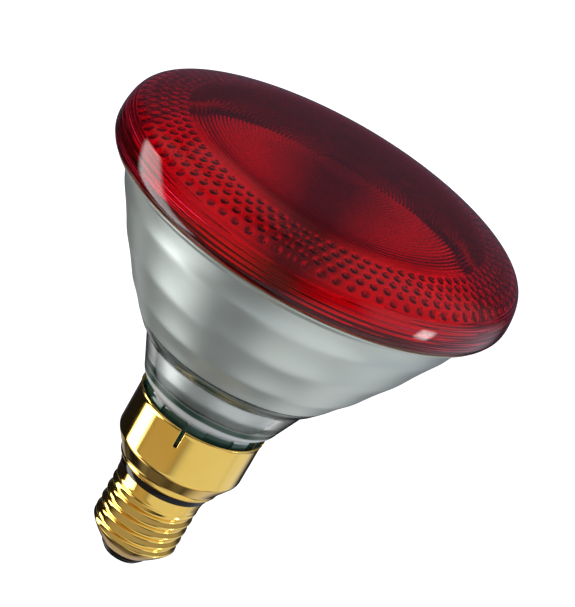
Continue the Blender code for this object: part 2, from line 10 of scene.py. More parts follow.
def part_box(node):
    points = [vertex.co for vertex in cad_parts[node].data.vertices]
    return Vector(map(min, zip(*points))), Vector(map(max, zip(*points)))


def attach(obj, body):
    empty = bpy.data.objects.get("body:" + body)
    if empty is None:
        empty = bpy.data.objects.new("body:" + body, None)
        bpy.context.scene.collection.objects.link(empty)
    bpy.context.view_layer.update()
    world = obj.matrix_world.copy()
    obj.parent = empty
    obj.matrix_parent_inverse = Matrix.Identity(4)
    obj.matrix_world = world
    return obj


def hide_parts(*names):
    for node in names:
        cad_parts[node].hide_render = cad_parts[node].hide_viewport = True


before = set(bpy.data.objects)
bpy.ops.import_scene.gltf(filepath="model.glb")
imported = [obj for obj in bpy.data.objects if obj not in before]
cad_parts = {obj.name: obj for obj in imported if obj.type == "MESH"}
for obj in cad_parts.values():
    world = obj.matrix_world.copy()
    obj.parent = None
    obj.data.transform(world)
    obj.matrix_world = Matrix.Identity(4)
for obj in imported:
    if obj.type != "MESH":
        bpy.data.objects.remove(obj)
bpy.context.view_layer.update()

MM = 0.001
FULL_TURN = 2.0 * math.pi

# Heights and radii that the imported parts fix
LENS_LOW, LENS_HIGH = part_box("lens")
GLASS_LOW, GLASS_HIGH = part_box("reflector")
SKIRT_LOW, SKIRT_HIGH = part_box("skirt")
RING_LOW, RING_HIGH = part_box("insulating_ring")
SHELL_LOW, SHELL_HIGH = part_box("screw_shell")
BASE_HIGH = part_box("base_insulator")[1]
CONTACT_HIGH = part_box("centre_contact")[1]
SEAL_LOW, SEAL_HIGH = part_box("rim_seal")
FILAMENT_LOW, FILAMENT_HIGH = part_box("filament")
GAP = 0.3 * MM
SEAL_LOW_INNER = 55.2 * MM

# Lens
LENS_RADIUS = LENS_HIGH.x
LENS_TOP = LENS_HIGH.z
LENS_FOOT = LENS_LOW.z
LENS_THICKNESS = 3.5 * MM
DOME_CURVATURE = 660.0 * MM
DOME_EDGE = 43.0 * MM
BAND_EDGE = 53.6 * MM
BAND_DROP = 3.1 * MM
SHOULDER_RADIUS = LENS_RADIUS - 0.9 * MM
SHOULDER_Z = LENS_FOOT + 9.0 * MM
RING_START = 7.0 * MM
RING_END = 44.6 * MM
RING_PITCH = 1.15 * MM
RING_DEPTH = 0.035 * MM
# RING_SHADE and CENTRE_SHADE set how dark the ruby glass is painted along the rings and in the dome's
# centre: painted shade
RING_SHADE = 0.5
ROWS_PER_RING = 5.0
CENTRE_SHADE = 0.12
STUD_COUNT = 84
STUD_ROWS = 5
STUD_START = 2.9 * MM
STUD_ROW_PITCH = 2.5 * MM
STUD_RADIUS = 1.1 * MM
STUD_HEIGHT = 0.4 * MM
WALL_THICKNESS = 3.2 * MM
WALL_RIDGE_PITCH = 1.7 * MM
WALL_RIDGE_DEPTH = 0.25 * MM
# WALL_RIDGE_SHADE sets the painted shade of the ruby glass along the wall's ridges
WALL_RIDGE_SHADE = 0.25
FRONT_PASSES = 60
BACK_PASSES = 90

# Bowl, neck and heel
BOWL_FOCUS = 12.97 * MM
BOWL_VERTEX = 56.0 * MM
MIRROR_FOCUS = 12.2 * MM
MIRROR_VERTEX = 59.25 * MM
BOWL_RIM_RADIUS = GLASS_HIGH.x
BOWL_RIM = GLASS_HIGH.z
BAND_EDGES = (75.0 * MM, 82.5 * MM, 93.9 * MM, 106.2 * MM, 113.6 * MM)
BAND_HOLLOW = 0.22 * MM
NECK_TOP = 69.5 * MM
NECK_TOP_RADIUS = 26.1 * MM
NECK_FOOT = 59.0 * MM
NECK_FOOT_RADIUS = 21.6 * MM
NECK_WALL = 3.2 * MM
MIRROR_FOOT = NECK_TOP + 5.0 * MM
HEEL_RADIUS = 18.0 * MM
HEEL_TOP = 56.2 * MM
HEEL_FLOOR = 49.0 * MM
HEEL_BORE = 14.6 * MM
LUG_COUNT = 8
LUG_ARC = math.radians(17.0)
LUG_HEIGHT = 0.6 * MM
LUG_FOOT = 50.0 * MM

# Brass cap
SKIRT_RADIUS = 19.3 * MM
SKIRT_WALL = 0.45 * MM
SKIRT_TOP = SKIRT_HIGH.z
SKIRT_FOOT = SKIRT_LOW.z
SKIRT_FOOT_RADIUS = 14.4 * MM
SKIRT_HEM = (15.6 * MM, SKIRT_FOOT + 1.0 * MM)
SKIRT_CONE_FOOT = (16.1 * MM, SKIRT_FOOT + 2.6 * MM)
SKIRT_CONE_TOP = (18.8 * MM, SKIRT_FOOT + 6.8 * MM)
SKIRT_BEND = SKIRT_FOOT + 8.2 * MM
SKIRT_WAIST = 0.7 * MM
LIP_FOOT = SKIRT_TOP - 1.1 * MM
SLOT_COUNT = 4
SLOT_WIDTH = 1.35 * MM
SLOT_DEPTH = 6.0 * MM
SLOT_AZIMUTH = math.radians(-95.0)
RING_RADIUS = 14.0 * MM
THREAD_RADIUS = 13.2 * MM
THREAD_DEPTH = 1.0 * MM
THREAD_PITCH = 3.62 * MM
THREAD_CREST = 11.5 * MM
THREAD_START = 8.6 * MM
THREAD_END = 24.6 * MM
THREAD_FADE = 2.4 * MM
SHELL_WALL = 0.5 * MM
SHELL_FOOT_RADIUS = 7.4 * MM
SHELL_TOP_RADIUS = 13.6 * MM

# Camera: the viewing angle, place and lens that show the lamp as it lies in the picture
CAMERA_PLACE = Vector((0.0, -0.59227, 0.33602))
CAMERA_RIGHT = Vector((0.86502, 0.18352, 0.46698))
CAMERA_UP = Vector((-0.50168, 0.33193, 0.79884))
CAMERA_BACK = Vector((-0.00840, -0.92528, 0.37920))
CAMERA_FOCAL_MM = 138.03
SENSOR_MM = 36.0


# ---------------------------------------------------------------- meshes

def bend(start, corner, end, steps):
    """Points of a rounded corner from start to end, pulled towards corner."""
    points = []
    for i in range(steps + 1):
        t = i / steps
        weights = ((1.0 - t) ** 2, 2.0 * t * (1.0 - t), t * t)
        points.append(tuple(
            sum(w * p[axis] for w, p in zip(weights, (start, corner, end)))
            for axis in (0, 1)
        ))
    return points


def refine(points, step):
    """The same outline with no run longer than step."""
    fine = [points[0]]
    for (r0, z0), (r1, z1) in zip(points, points[1:]):
        count = max(1, math.ceil(math.hypot(r1 - r0, z1 - z0) / step))
        fine += [(r0 + (r1 - r0) * i / count, z0 + (z1 - z0) * i / count) for i in range(1, count + 1)]
    return fine


def soften(points, passes, keep=()):
    """Rounds an outline's corners by moving each inner point towards its neighbours."""
    r = np.array([p[0] for p in points])
    z = np.array([p[1] for p in points])
    free = np.ones(len(points), bool)
    free[[0, -1]] = False
    for i in keep:
        free[i] = False
    for _ in range(passes):
        for a in (r, z):
            middle = 0.25 * a[:-2] + 0.5 * a[1:-1] + 0.25 * a[2:]
            a[1:-1] = np.where(free[1:-1], middle, a[1:-1])
    return list(zip(r.tolist(), z.tolist()))


def mesh_object(name, vertices, faces, materials, slots=None, sharp=40.0, relief=None):
    mesh = bpy.data.meshes.new(name)
    mesh.from_pydata(vertices, [], faces)
    # The relief amounts go on the mesh, where the ruby glass reads them as painted shade
    if relief is not None:
        mesh.attributes.new("relief", "FLOAT", "POINT").data.foreach_set("value", relief)
    mesh.validate()
    for material in materials:
        mesh.materials.append(material)
    if slots is not None:
        mesh.polygons.foreach_set("material_index", slots)
    mesh.shade_smooth()
    mesh.set_sharp_from_angle(angle=math.radians(sharp))
    item = bpy.data.objects.new(name, mesh)
    bpy.context.scene.collection.objects.link(item)
    return item


def turned(name, outline, segments, materials, shape=None, pick=None):
    """Surface turned about Z from a closed outline of (radius, height) points, given anticlockwise
    in the radius-height plane. shape(azimuth, radius, height) gives new radii and heights; pick(radius,
    height) gives the material slot of a band of faces."""
    azimuths = np.arange(segments) * FULL_TURN / segments
    rows, vertices = [], []
    for radius, height in outline:
        start = len(vertices)
        if radius < 1e-7:
            vertices.append((0.0, 0.0, height))
            rows.append([start] * segments)
            continue
        r = np.full(segments, radius)
        z = np.full(segments, height)
        if shape is not None:
            r, z = shape(azimuths, r, z)
        vertices += list(zip(r * np.cos(azimuths), r * np.sin(azimuths), z))
        rows.append(list(range(start, start + segments)))
    faces, slots = [], []
    for i in range(len(outline)):
        a, b = rows[i], rows[(i + 1) % len(outline)]
        if a[0] == a[1] and b[0] == b[1]:
            continue
        middle = [0.5 * (p + q) for p, q in zip(outline[i], outline[(i + 1) % len(outline)])]
        slot = pick(*middle) if pick else 0
        for j in range(segments):
            k = (j + 1) % segments
            ring = [a[j], a[k], b[k], b[j]]
            face = [v for n, v in enumerate(ring) if v not in ring[:n]]
            faces.append(face)
            slots.append(slot)
    return mesh_object(name, vertices, faces, materials, slots)


def tube(name, path, radius, sides, materials):
    """Round wire along a path of points, closed at both ends."""
    path = np.array(path, float)
    tangents = np.gradient(path, axis=0)
    tangents /= np.linalg.norm(tangents, axis=1)[:, None]
    normal = np.cross(tangents[0], (0.3, 0.5, 0.81))
    vertices, rings = [], []
    for point, tangent in zip(path, tangents):
        normal = normal - tangent * normal.dot(tangent)
        normal /= np.linalg.norm(normal)
        side = np.cross(tangent, normal)
        rings.append(len(vertices))
        for i in range(sides):
            angle = FULL_TURN * i / sides
            vertices.append(tuple(point + radius * (math.cos(angle) * normal + math.sin(angle) * side)))
    faces = [tuple(range(sides))[::-1], tuple(range(rings[-1], rings[-1] + sides))]
    for a, b in zip(rings, rings[1:]):
        for i in range(sides):
            j = (i + 1) % sides
            faces.append((a + i, a + j, b + j, b + i))
    return mesh_object(name, vertices, faces, materials, sharp=60.0)


def place(item, node):
    """Puts a finished piece on the lamp's body, in place of its CAD node."""
    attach(item, "root")
    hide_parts(node)


# ---------------------------------------------------------------- materials

def new_material(name):
    material = bpy.data.materials.new(name)
    material.use_nodes = True
    tree = material.node_tree
    return material, tree, tree.nodes["Principled BSDF"]


def set_shader(shader, **values):
    for key, value in values.items():
        socket = shader.inputs[key.replace("_", " ")]
        socket.default_value = (*value, 1.0) if isinstance(value, tuple) and len(value) == 3 else value


def add_node(tree, kind, **values):
    node = tree.nodes.new(kind)
    for key, value in values.items():
        setattr(node, key, value)
    return node


def noise(tree, scale, detail=3.0, stretch=(1.0, 1.0, 1.0)):
    """Noise in object space, stretched along the axes."""
    coordinates = add_node(tree, "ShaderNodeTexCoord")
    mapping = add_node(tree, "ShaderNodeMapping")
    mapping.inputs["Scale"].default_value = stretch
    texture = add_node(tree, "ShaderNodeTexNoise")
    texture.inputs["Scale"].default_value = scale
    texture.inputs["Detail"].default_value = detail
    tree.links.new(coordinates.outputs["Object"], mapping.inputs["Vector"])
    tree.links.new(mapping.outputs["Vector"], texture.inputs["Vector"])
    return texture.outputs["Fac"]


def math_node(tree, operation, *values):
    """One math step; each value is a socket or a number."""
    node = add_node(tree, "ShaderNodeMath", operation=operation)
    for socket, value in zip(node.inputs, values):
        if isinstance(value, bpy.types.NodeSocket):
            tree.links.new(value, socket)
        else:
            socket.default_value = value
    return node.outputs["Value"]


def ramp(tree, value, stops):
    """Colours that blend between stops of (position, colour)."""
    node = add_node(tree, "ShaderNodeValToRGB")
    elements = node.color_ramp.elements
    while len(elements) < len(stops):
        elements.new(0.5)
    for element, (position, colour) in zip(elements, stops):
        element.position = position
        element.color = (*colour, 1.0)
    tree.links.new(value, node.inputs["Fac"])
    return node.outputs["Color"]


def spread(tree, value, low, high, start=0.3, end=0.7):
    """Runs from low to high while the value goes from start to end, and stays there beyond."""
    node = add_node(tree, "ShaderNodeMapRange")
    for key, number in (("From Min", start), ("From Max", end), ("To Min", low), ("To Max", high)):
        node.inputs[key].default_value = number
    tree.links.new(value, node.inputs["Value"])
    return node.outputs["Result"]


def bump(tree, height, strength, distance):
    node = add_node(tree, "ShaderNodeBump")
    node.inputs["Strength"].default_value = strength
    node.inputs["Distance"].default_value = distance
    tree.links.new(height, node.inputs["Height"])
    return node.outputs["Normal"]


def object_height(tree):
    """Height above the contact's face, in metres."""
    parts = add_node(tree, "ShaderNodeSeparateXYZ")
    tree.links.new(add_node(tree, "ShaderNodeTexCoord").outputs["Object"], parts.inputs["Vector"])
    return parts.outputs["Z"]


def ruby_glass():
    """Ruby glass with painted shade: darker along the rings, studs and ridges of the relief and in the
    dome's centre.
    """
    material, tree, shader = new_material("ruby_glass")
    set_shader(shader, Roughness=0.02, IOR=1.42, Specular_Tint=(0.6, 0.6, 0.6), Transmission_Weight=0.985)
    # Each vertex's relief amount is painted shade, not a real change in how much glass there is
    relief_shade = add_node(tree, "ShaderNodeAttribute", attribute_name="relief").outputs["Fac"]
    swirl = spread(tree, noise(tree, 18.0, 2.0), -0.02, 0.02)
    deep = math_node(tree, "ADD", relief_shade, swirl)
    colour = ramp(tree, deep, (
        (0.0, (0.66, 0.014, 0.045)), (0.5, (0.36, 0.008, 0.025)), (1.0, (0.16, 0.005, 0.015))))
    tree.links.new(colour, shader.inputs["Base Color"])
    wave = noise(tree, 60.0, 1.0)
    tree.links.new(bump(tree, wave, 0.05, 0.2 * MM), shader.inputs["Normal"])
    return material


def satin_bowl():
    """Mirrored glass seen through its satin outside: soft silver with a green cast."""
    material, tree, shader = new_material("satin_bowl")
    set_shader(shader, Metallic=0.68, IOR=1.5)
    cloud = noise(tree, 40.0, 3.0)
    colour = ramp(tree, cloud, ((0.35, (0.64, 0.71, 0.675)), (0.65, (0.68, 0.75, 0.715))))
    tree.links.new(colour, shader.inputs["Base Color"])
    tree.links.new(spread(tree, noise(tree, 90.0), 0.28, 0.33), shader.inputs["Roughness"])
    grain = noise(tree, 2200.0, 2.0)
    tree.links.new(bump(tree, grain, 0.06, 0.05 * MM), shader.inputs["Normal"])
    return material


def bead_glass():
    """Clear glass of the bead and the exhaust tube's stub."""
    material, tree, shader = new_material("bead_glass")
    set_shader(shader, Roughness=0.05, IOR=1.5, Transmission_Weight=1.0)
    streak = noise(tree, 30.0, 2.0)
    colour = ramp(tree, streak, ((0.3, (0.75, 0.85, 0.82)), (0.7, (0.84, 0.952, 0.9184))))
    tree.links.new(colour, shader.inputs["Base Color"])
    wave = noise(tree, 70.0, 1.5)
    tree.links.new(bump(tree, wave, 0.3, 0.4 * MM), shader.inputs["Normal"])
    return material


def neck_glass():
    """Pressed clear glass of neck and heel: bottle green where corners and heel make the glass thicker,
    darkened there as painted shade, with a near-white painted highlight on the ridge between heel and
    neck.
    """
    material, tree, shader = new_material("neck_glass")
    set_shader(shader, Roughness=0.01, IOR=1.5, Specular_Tint=(0.45, 0.5, 0.47))
    wander = spread(tree, noise(tree, 45.0, 2.0), -0.5 * MM, 0.5 * MM)
    wavy = math_node(tree, "ADD", object_height(tree), wander)
    low, high = GLASS_LOW.z, BAND_EDGES[0] + MM
    level = spread(tree, wavy, 0.0, 1.0, low, high)
    # Pale: clear glass in the neck, and on the ridge a mostly opaque painted highlight. Dark green: the
    # green of thicker glass, darkened as painted shade.
    pale_glass_and_highlight, thick_green_and_shade = (0.92, 0.95, 0.94), (0.04, 0.10, 0.07)
    thin_clear, ridge_highlight_clear, shaded_thick_clear = 1.0, 0.3, 0.2
    stops, clearness = [], []
    # From the heel up: painted shade on the heel, painted highlight on the ridge, painted shade in the
    # fillet above it, clear neck, painted shade in the groove under the bowl
    for z, colour in (
        (HEEL_TOP - 1.3 * MM, thick_green_and_shade), (HEEL_TOP - 0.4 * MM, pale_glass_and_highlight), (NECK_FOOT - 0.3 * MM, pale_glass_and_highlight),
        (NECK_FOOT + 0.3 * MM, thick_green_and_shade), (NECK_FOOT + 1.8 * MM, thick_green_and_shade), (NECK_FOOT + 2.6 * MM, pale_glass_and_highlight),
        (NECK_TOP + 0.9 * MM, pale_glass_and_highlight), (NECK_TOP + 1.5 * MM, thick_green_and_shade), (NECK_TOP + 4.0 * MM, thick_green_and_shade),
        (NECK_TOP + 6.0 * MM, pale_glass_and_highlight),
    ):
        at = (z - low) / (high - low)
        clear = shaded_thick_clear if colour is thick_green_and_shade else ridge_highlight_clear if z < NECK_FOOT else thin_clear
        stops.append((at, colour))
        clearness.append((at, (clear, clear, clear)))
    tree.links.new(ramp(tree, level, stops), shader.inputs["Base Color"])
    tree.links.new(ramp(tree, level, clearness), shader.inputs["Transmission Weight"])
    wave = noise(tree, 70.0, 1.5)
    tree.links.new(bump(tree, wave, 0.35, 0.4 * MM), shader.inputs["Normal"])
    return material


def mirror_film():
    """Aluminium film: bright in the bowl, cloudier down in the neck."""
    material, tree, shader = new_material("mirror_film")
    cloud = noise(tree, 25.0, 3.0)
    colour = ramp(tree, cloud, ((0.3, (0.88, 0.89, 0.89)), (0.7, (0.94, 0.95, 0.95))))
    tree.links.new(colour, shader.inputs["Base Color"])
    z = math_node(tree, "ADD", object_height(tree), spread(tree, cloud, -1.0 * MM, 1.0 * MM))
    tree.links.new(spread(tree, z, 0.42, 0.05, NECK_TOP, MIRROR_FOOT), shader.inputs["Roughness"])
    tree.links.new(spread(tree, z, 0.6, 1.0, NECK_TOP, MIRROR_FOOT), shader.inputs["Metallic"])
    return material


def brass():
    """Polished sheet brass with faint turning lines round the axis."""
    material, tree, shader = new_material("polished_brass")
    set_shader(shader, Metallic=1.0)
    cloud = noise(tree, 55.0, 4.0)
    colour = ramp(tree, cloud, (
        (0.25, (0.83, 0.52, 0.10)), (0.55, (0.87, 0.57, 0.13)), (0.8, (0.90, 0.61, 0.17))))
    tree.links.new(colour, shader.inputs["Base Color"])
    tree.links.new(spread(tree, noise(tree, 160.0), 0.07, 0.13), shader.inputs["Roughness"])
    lines = noise(tree, 60.0, 3.0, (1.0, 1.0, 60.0))
    tree.links.new(bump(tree, lines, 0.12, 0.03 * MM), shader.inputs["Normal"])
    return material


def black_glass():
    """Black pressed glass of the ring and the button."""
    material, tree, shader = new_material("black_glass")
    set_shader(shader, IOR=1.5, Specular_IOR_Level=0.22)
    cloud = noise(tree, 120.0, 3.0)
    colour = ramp(tree, cloud, ((0.3, (0.003, 0.002, 0.003)), (0.7, (0.008, 0.006, 0.007))))
    tree.links.new(colour, shader.inputs["Base Color"])
    tree.links.new(spread(tree, noise(tree, 200.0), 0.08, 0.16), shader.inputs["Roughness"])
    tree.links.new(bump(tree, cloud, 0.1, 0.1 * MM), shader.inputs["Normal"])
    return material


def metal(name, dark, light, low, high, scale=150.0):
    """Cloudy metal between a dark and a light colour and between two roughnesses."""
    material, tree, shader = new_material(name)
    set_shader(shader, Metallic=1.0)
    cloud = noise(tree, scale, 4.0)
    tree.links.new(ramp(tree, cloud, ((0.3, dark), (0.7, light))), shader.inputs["Base Color"])
    tree.links.new(spread(tree, cloud, low, high), shader.inputs["Roughness"])
    tree.links.new(bump(tree, cloud, 0.2, 0.05 * MM), shader.inputs["Normal"])
    return material


def sealant():
    """Tan seam between lens and bowl."""
    material, tree, shader = new_material("rim_sealant")
    set_shader(shader, Coat_Weight=0.3, Coat_Roughness=0.3)
    cloud = noise(tree, 260.0, 4.0)
    colour = ramp(tree, cloud, ((0.3, (0.20, 0.11, 0.04)), (0.7, (0.42, 0.27, 0.13))))
    tree.links.new(colour, shader.inputs["Base Color"])
    tree.links.new(spread(tree, cloud, 0.35, 0.6), shader.inputs["Roughness"])
    tree.links.new(bump(tree, cloud, 0.3, 0.1 * MM), shader.inputs["Normal"])
    return material


# ---------------------------------------------------------------- outlines

def bowl_radius(z):
    """Radius of the bowl's outside, a paraboloid."""
    return math.sqrt(4.0 * BOWL_FOCUS * (z - BOWL_VERTEX))


def mirror_radius(z):
    """Radius of the bowl's inside, a paraboloid with the filament at its focus."""
    return math.sqrt(4.0 * MIRROR_FOCUS * (z - MIRROR_VERTEX))


def dome_z(radius):
    """Height of the lens's flat dome."""
    return LENS_TOP - radius ** 2 / (2.0 * DOME_CURVATURE)


def glass_inside(inset, foot):
    """Inside wall of the glass, top to bottom, moved towards the axis by inset."""
    rows = 40
    points = []
    for i in range(rows + 1):
        z = BOWL_RIM + (MIRROR_FOOT - BOWL_RIM) * i / rows
        points.append((mirror_radius(z) - inset, z))
    lower = [points[-1]]
    lower += [
        (NECK_TOP_RADIUS - NECK_WALL - inset, NECK_TOP + 0.6 * MM),
        (NECK_FOOT_RADIUS - NECK_WALL - inset, NECK_FOOT + 1.0 * MM),
        (HEEL_BORE - inset, HEEL_TOP + 0.4 * MM),
        (HEEL_BORE - inset, foot),
    ]
    return points[:-1] + soften(refine(lower, 0.4 * MM), 6)


# ---------------------------------------------------------------- lens

def lens_outside():
    """Front of the lens, from the axis over dome, band and shoulder to the foot."""
    count, fixed = 60, 44
    points = [(DOME_EDGE * i / count, dome_z(DOME_EDGE * i / count)) for i in range(count)]
    band = (BAND_EDGE, dome_z(DOME_EDGE) - BAND_DROP)
    points += refine([(DOME_EDGE, dome_z(DOME_EDGE)), band], 0.8 * MM)
    corner = (SHOULDER_RADIUS - 0.5 * MM, SHOULDER_Z + 3.4 * MM)
    points += bend(band, corner, (SHOULDER_RADIUS, SHOULDER_Z), 16)[1:]
    foot_round = 1.3 * MM
    points += refine([points[-1], (LENS_RADIUS, LENS_FOOT + foot_round)], 0.8 * MM)[1:]
    points += bend(
        points[-1], (LENS_RADIUS, LENS_FOOT), (LENS_RADIUS - foot_round, LENS_FOOT), 8)[1:]
    return soften(points, FRONT_PASSES, keep=range(fixed))


def ring_relief(radius):
    """How proud the fine concentric ridges on the back of the dome stand, from 0 to 1."""
    if not RING_START < radius < RING_END:
        return 0.0
    return abs(math.sin(math.pi * (radius - RING_START) / RING_PITCH))


def stud_relief(azimuth, radius, path):
    """How proud the staggered rows of round studs stand, from 0 to 1; path is measured down the
    back of the lens from the dome's edge."""
    height = np.zeros_like(azimuth)
    step = FULL_TURN / STUD_COUNT
    for row in range(STUD_ROWS):
        offset = 0.5 * step * (row % 2)
        nearest = (azimuth - offset + 0.5 * step) % step - 0.5 * step
        distance = np.hypot(nearest * radius, path - STUD_START - STUD_ROW_PITCH * row)
        cap = np.clip(1.0 - (distance / STUD_RADIUS) ** 2, 0.0, 1.0)
        height = np.maximum(height, cap)
    return height


def lens_back():
    """Back of the lens from the dome's edge over the band and down the inside of the wall."""
    band_z = dome_z(DOME_EDGE) - BAND_DROP - LENS_THICKNESS
    inner = LENS_RADIUS - WALL_THICKNESS
    start = DOME_EDGE - 7.0 * MM
    points = [(start, dome_z(start) - LENS_THICKNESS), (DOME_EDGE, dome_z(DOME_EDGE) - LENS_THICKNESS)]
    points += bend((BAND_EDGE - 1.5 * MM, band_z + 0.4 * MM), (inner - 0.6 * MM, band_z - 1.2 * MM),
                   (inner - 0.2 * MM, SHOULDER_Z - 1.5 * MM), 24)
    points += bend((inner, LENS_FOOT + 6.0 * MM), (inner, LENS_FOOT + 2.0 * MM),
                   (SEAL_LOW_INNER, LENS_FOOT), 8)
    return soften(refine(points, 0.3 * MM), BACK_PASSES)


def stitch(a, b):
    """Faces between two rings of vertices. Where one ring is finer, its runs fan out from the
    vertices of the other."""
    if len(a) == len(b):
        n = len(a)
        return [(a[j], b[j], b[(j + 1) % n], a[(j + 1) % n]) for j in range(n)]
    wide, narrow = (a, b) if len(a) < len(b) else (b, a)
    share = len(narrow) // len(wide)
    half = share // 2
    faces = []
    for j in range(len(wide)):
        k = (j + 1) % len(wide)
        run = [narrow[(j * share + i) % len(narrow)] for i in range(share + 1)]
        fans = [(wide[j], run[i], run[i + 1]) for i in range(half)]
        fans.append((wide[j], run[half], wide[k]))
        fans += [(wide[k], run[i], run[i + 1]) for i in range(half, share)]
        faces += fans if wide is a else [fan[::-1] for fan in fans]
    return faces


def build_lens(material):
    """Pressed lens: a smooth front, with rings, studs and ridges in relief on its back."""
    coarse, per_stud = STUD_COUNT * 2, 10
    fine = STUD_COUNT * per_stud
    outside = lens_outside()
    vertices, rows, relief = [], [], []

    def add_row(radius, height, count, amount=0.0, out=(0.0, -1.0), depth=0.0):
        """A ring of vertices, pushed along out by depth times the amount of relief, which is one
        number or a function of the azimuth; the amount is also kept as the glass's painted shade."""
        azimuth = np.arange(count) * FULL_TURN / count
        amounts = amount(azimuth) if callable(amount) else np.full(count, amount)
        r = radius + out[0] * depth * amounts
        z = height + out[1] * depth * amounts
        rows.append(range(len(vertices), len(vertices) + count))
        vertices.extend(zip(r * np.cos(azimuth), r * np.sin(azimuth), z))
        relief.extend(amounts.tolist())

    apex_front = len(vertices)
    vertices.append((0.0, 0.0, outside[0][1]))
    relief.append(0.0)
    for radius, height in outside[1:]:
        add_row(radius, height, coarse)

    back = lens_back()
    lengths = [0.0]
    for (r0, z0), (r1, z1) in zip(back, back[1:]):
        lengths.append(lengths[-1] + math.hypot(r1 - r0, z1 - z0))
    edge_length = lengths[min(range(len(back)), key=lambda i: abs(back[i][0] - DOME_EDGE))]
    studs_end = STUD_START + STUD_ROW_PITCH * (STUD_ROWS - 1) + STUD_RADIUS
    # Each row keeps its relief amount as painted shade of the glass: dark along rings, stud cores and wall
    # ridges
    for i in reversed(range(len(back))):
        before, after = back[max(i - 1, 0)], back[min(i + 1, len(back) - 1)]
        run = math.hypot(after[0] - before[0], after[1] - before[1])
        inward = ((after[1] - before[1]) / run, -(after[0] - before[0]) / run)
        radius, height = back[i]
        path = lengths[i] - edge_length
        if path > studs_end + 0.3 * MM:
            phase = (path - studs_end) / WALL_RIDGE_PITCH
            ridge = 0.5 - 0.5 * math.cos(FULL_TURN * phase)
            fade = min(1.0, (lengths[-1] - lengths[i]) / (2.0 * MM))
            add_row(radius, height, coarse, WALL_RIDGE_SHADE * ridge * fade, inward,
                    WALL_RIDGE_DEPTH / WALL_RIDGE_SHADE)
        elif path > STUD_START - STUD_RADIUS - 0.4 * MM:
            add_row(radius, height, fine,
                    lambda azimuth: stud_relief(azimuth, radius, path), inward, STUD_HEIGHT)
        else:
            add_row(radius, height, coarse, RING_SHADE * ring_relief(radius), inward,
                    RING_DEPTH / RING_SHADE)
    innermost = back[0][0]
    row_step = RING_PITCH / ROWS_PER_RING
    for radius in np.arange(innermost - row_step, RING_START - 0.2 * MM, -row_step):
        add_row(radius, dome_z(radius) - LENS_THICKNESS, coarse, RING_SHADE * ring_relief(radius),
                depth=RING_DEPTH / RING_SHADE)
    # The dome's smooth centre has no relief here, only painted shade
    for radius in np.linspace(RING_START - 0.4 * MM, 1.0 * MM, 6):
        add_row(radius, dome_z(radius) - LENS_THICKNESS, coarse, CENTRE_SHADE)
    apex_back = len(vertices)
    vertices.append((0.0, 0.0, LENS_TOP - LENS_THICKNESS))
    relief.append(CENTRE_SHADE)

    faces = []
    first, last = rows[0], rows[-1]
    for j in range(coarse):
        k = (j + 1) % coarse
        faces.append((apex_front, first[j], first[k]))
        faces.append((apex_back, last[k], last[j]))
    for a, b in zip(rows, rows[1:]):
        faces += stitch(a, b)
    lens = mesh_object("lens_glass", vertices, faces, [material], sharp=50.0, relief=relief)
    place(lens, "lens")


# ---------------------------------------------------------------- glass

def reflector_outside():
    """Outside of the glass from the heel's foot to the bowl's rim."""
    points = [
        (HEEL_RADIUS - 1.0 * MM, GLASS_LOW.z),
        (HEEL_RADIUS, GLASS_LOW.z + 1.0 * MM),
        (HEEL_RADIUS, HEEL_TOP - 1.2 * MM),
    ]
    points += bend(
        (HEEL_RADIUS + 0.5 * MM, HEEL_TOP),
        (NECK_FOOT_RADIUS - 0.7 * MM, HEEL_TOP + 0.3 * MM),
        (NECK_FOOT_RADIUS, NECK_FOOT),
        8,
    )
    corner = (NECK_TOP_RADIUS + 0.5 * MM, NECK_TOP + 1.2 * MM)
    dip = NECK_TOP + 2.6 * MM
    points += bend((NECK_TOP_RADIUS, NECK_TOP), corner, (bowl_radius(dip), dip), 8)
    lower = soften(refine(points, 0.35 * MM), 4)

    steps = 14
    upper = []
    for low, high in zip(BAND_EDGES, BAND_EDGES[1:]):
        for i in range(steps):
            share = i / steps
            straight = (1.0 - share) * bowl_radius(low) + share * bowl_radius(high)
            upper.append((straight - BAND_HOLLOW * math.sin(math.pi * share), low + (high - low) * share))
    top = BAND_EDGES[-1]
    upper += bend(
        (bowl_radius(top), top),
        (bowl_radius(top) + 0.45 * MM, top + 1.2 * MM),
        (BOWL_RIM_RADIUS, BOWL_RIM - 0.6 * MM),
        12,
    )
    upper.append((BOWL_RIM_RADIUS, BOWL_RIM))
    return lower + soften([lower[-1]] + upper, 2)[1:]


def heel_lugs(azimuth, radius, height):
    """Raised lugs round the heel, each starting at the azimuth of a slot or between slots."""
    step = FULL_TURN / LUG_COUNT
    centre = SLOT_AZIMUTH + 0.5 * LUG_ARC
    offset = (azimuth - centre + 0.5 * step) % step - 0.5 * step
    edge = math.radians(0.8)
    across = np.clip((0.5 * LUG_ARC + edge - np.abs(offset)) / edge, 0.0, 1.0)
    up = np.clip((height - LUG_FOOT) / (0.4 * MM), 0.0, 1.0) * np.clip(
        (HEEL_TOP - 0.3 * MM - height) / (0.5 * MM), 0.0, 1.0)
    outer = radius > HEEL_RADIUS - 0.2 * MM
    return radius + np.where(outer, LUG_HEIGHT * across * up, 0.0), height


